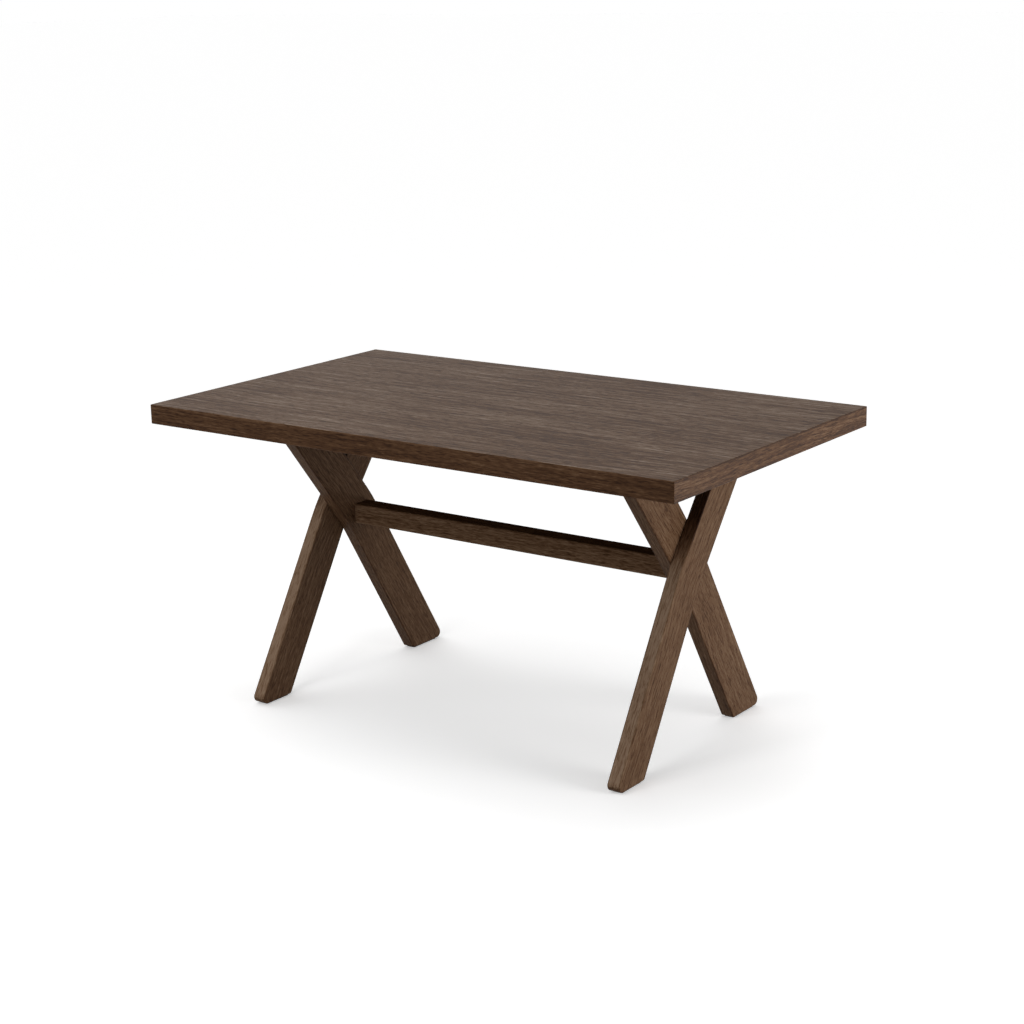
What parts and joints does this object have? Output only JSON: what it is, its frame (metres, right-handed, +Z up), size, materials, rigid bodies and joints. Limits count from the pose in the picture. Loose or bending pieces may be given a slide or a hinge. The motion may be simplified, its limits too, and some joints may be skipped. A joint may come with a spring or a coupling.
{
  "type": "sawbuck table",
  "caption": "Rectangular dark wood dining table: a thick slab top with mitred edges on crossed, slightly bent plank legs at each end, tied by a long stretcher.",
  "frame": {"origin": "on the floor, under the middle of the table top", "axes": "+X along the table's length, +Y from the front to the back, +Z up"},
  "size_m": [1.492, 0.856, 0.76],
  "materials": {
    "top_veneer": "dark brown stained oak veneer, satin lacquer",
    "edge_veneer": "dark brown stained oak veneer, satin lacquer",
    "frame_wood": "dark brown stained oak, satin lacquer",
    "panel_back": "dark stained plywood, matt",
    "core_wood": "bare pine",
    "dowel_wood": "bare beech",
    "zinc_steel": "zinc plated",
    "screw_steel": "zinc plated",
    "felt": "brown felt"
  },
  "bodies": {
    "root": {"core_rail_back": "core_wood", "core_rail_front": "core_wood", "core_rail_left_end": "core_wood", "core_rail_middle": "core_wood", "core_rail_right_end": "core_wood", "crossing_dowels_left": "dowel_wood", "crossing_dowels_right": "dowel_wood", "edge_back": "edge_veneer", "edge_front": "edge_veneer", "edge_left": "edge_veneer", "edge_right": "edge_veneer", "face_panel": "top_veneer", "fixing_rail_left": "core_wood", "fixing_rail_right": "core_wood", "hanger_bolt_left": "zinc_steel", "hanger_bolt_right": "zinc_steel", "hex_nut_left": "zinc_steel", "hex_nut_right": "zinc_steel", "inner_leg_angle_left": "zinc_steel", "inner_leg_angle_right": "zinc_steel", "inner_leg_left": "frame_wood", "inner_leg_pad_left": "felt", "inner_leg_pad_right": "felt", "inner_leg_right": "frame_wood", "leg_screws_left": "screw_steel", "leg_screws_right": "screw_steel", "outer_leg_angle_left": "zinc_steel", "outer_leg_angle_right": "zinc_steel", "outer_leg_left": "frame_wood", "outer_leg_pad_left": "felt", "outer_leg_pad_right": "felt", "outer_leg_right": "frame_wood", "saddle_washer_left": "zinc_steel", "saddle_washer_right": "zinc_steel", "stretcher": "frame_wood", "stretcher_dowels_left": "dowel_wood", "stretcher_dowels_right": "dowel_wood", "top_screws_left": "screw_steel", "top_screws_right": "screw_steel", "under_panel": "panel_back"}
  },
  "joints": []
}
